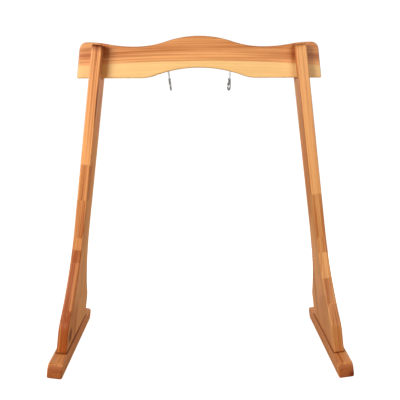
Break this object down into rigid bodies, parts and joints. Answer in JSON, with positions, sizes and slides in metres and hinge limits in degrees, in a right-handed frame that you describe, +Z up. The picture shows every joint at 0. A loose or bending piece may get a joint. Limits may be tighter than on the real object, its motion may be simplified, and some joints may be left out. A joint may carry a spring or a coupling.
{
  "type": "wooden gong stand",
  "caption": "Wooden floor stand for a hanging gong: wave-shaped crossbeam in two leaning forked posts on front-to-back feet, with spring-gate hooks below the beam.",
  "frame": {"origin": "on the floor, under the middle of the stand", "axes": "+X to the right seen from the front (the width), -Y to the front, +Z up"},
  "size_m": [1.1854, 0.56, 1.2905],
  "materials": {
    "larch": "oiled satin, glued finger-jointed staves",
    "beech": "plain turned",
    "hook_zinc": "bright zinc plated",
    "spring_steel": "drawn wire",
    "bolt_steel": "black oxide",
    "insert_brass": "turned"
  },
  "bodies": {
    "stand": {"crossbeam": "larch", "left_post": "larch", "right_post": "larch", "left_foot": "larch", "right_foot": "larch", "left_foot_bolts": "bolt_steel", "left_foot_washers": "bolt_steel", "left_foot_inserts": "insert_brass", "left_foot_dowels": "beech", "right_foot_bolts": "bolt_steel", "right_foot_washers": "bolt_steel", "right_foot_inserts": "insert_brass", "right_foot_dowels": "beech", "left_beam_bolts": "bolt_steel", "left_beam_washers": "bolt_steel", "left_beam_inserts": "insert_brass", "right_beam_bolts": "bolt_steel", "right_beam_washers": "bolt_steel", "right_beam_inserts": "insert_brass", "left_hook": "hook_zinc", "left_gate_rivet": "hook_zinc", "left_gate_spring": "spring_steel", "right_hook": "hook_zinc", "right_gate_rivet": "hook_zinc", "right_gate_spring": "spring_steel"},
    "left_gate": {"left_hook_gate": "hook_zinc"},
    "right_gate": {"right_hook_gate": "hook_zinc"}
  },
  "joints": [
    {"name": "left_gate_hinge", "type": "hinge", "parent": "stand", "child": "left_gate", "pos_m": [-0.11601, 0, 1.12783], "axis": [0.9914, 0, 0.1305], "range_deg": [0, 26], "stiffness_Nm_per_rad": 0.1, "springref_deg": -57.3, "deforming": ["left_gate_spring"]},
    {"name": "right_gate_hinge", "type": "hinge", "parent": "stand", "child": "right_gate", "pos_m": [0.11813, 0, 1.12762], "axis": [0.9685, 0.2419, -0.0592], "range_deg": [0, 26], "stiffness_Nm_per_rad": 0.1, "springref_deg": -57.3, "deforming": ["right_gate_spring"]}
  ]
}
